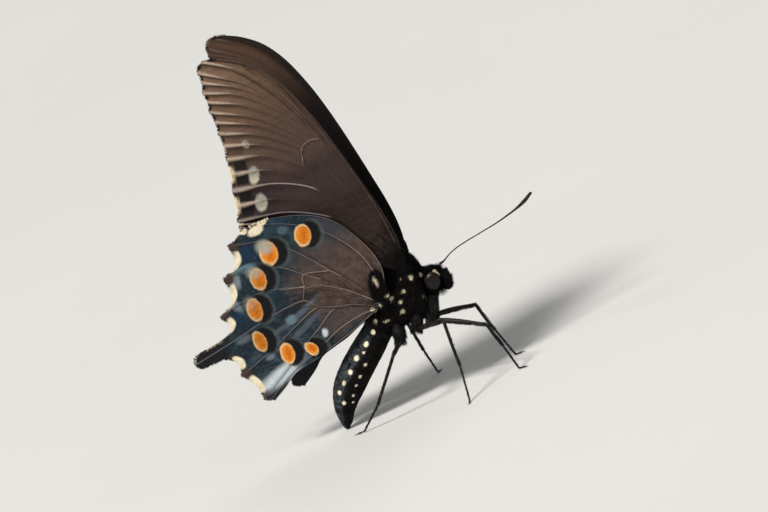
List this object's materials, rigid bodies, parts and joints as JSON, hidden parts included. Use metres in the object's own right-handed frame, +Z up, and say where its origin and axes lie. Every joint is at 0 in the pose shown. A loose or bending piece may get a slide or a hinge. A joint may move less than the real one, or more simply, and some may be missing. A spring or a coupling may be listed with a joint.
{
  "type": "pipevine swallowtail butterfly",
  "caption": "Life-size swallowtail butterfly standing with its wings closed over its back, antennae forward and abdomen curved down to the ground.",
  "frame": {"origin": "bottom centre of the bounding box, on the plane that the feet and the tip of the abdomen stand on", "axes": "+X towards the head, +Y towards the butterfly's left, +Z up towards the wing tips"},
  "size_m": [0.0644, 0.0314, 0.0689],
  "materials": {
    "body_black": "matt black hair and scales over a firm shell, with cream spots",
    "eye_black": "glossy, finely faceted",
    "horn_black": "satin, thinly scaled",
    "forewing_brown": "matt brown-black scales",
    "hindwing_blue": "scales with a steel-blue sheen, orange spots and cream fringes"
  },
  "bodies": {
    "root": {"abdomen_base": "body_black", "abdomen_middle": "body_black", "abdomen_tip": "body_black", "antenna_left": "horn_black", "antenna_right": "horn_black", "coxa_front_left": "body_black", "coxa_front_right": "body_black", "coxa_hind_left": "body_black", "coxa_hind_right": "body_black", "coxa_middle_left": "body_black", "coxa_middle_right": "body_black", "eye_left": "eye_black", "eye_right": "eye_black", "femur_front_left": "horn_black", "femur_front_right": "horn_black", "femur_hind_left": "horn_black", "femur_hind_right": "horn_black", "femur_middle_left": "horn_black", "femur_middle_right": "horn_black", "forewing_left": "forewing_brown", "forewing_right": "forewing_brown", "head": "body_black", "hindwing_left": "hindwing_blue", "hindwing_right": "hindwing_blue", "palp_left": "body_black", "palp_right": "body_black", "tarsus_front_left": "horn_black", "tarsus_front_right": "horn_black", "tarsus_hind_left": "horn_black", "tarsus_hind_right": "horn_black", "tarsus_middle_left": "horn_black", "tarsus_middle_right": "horn_black", "thorax": "body_black", "tibia_front_left": "horn_black", "tibia_front_right": "horn_black", "tibia_hind_left": "horn_black", "tibia_hind_right": "horn_black", "tibia_middle_left": "horn_black", "tibia_middle_right": "horn_black", "tongue": "horn_black"}
  },
  "joints": []
}
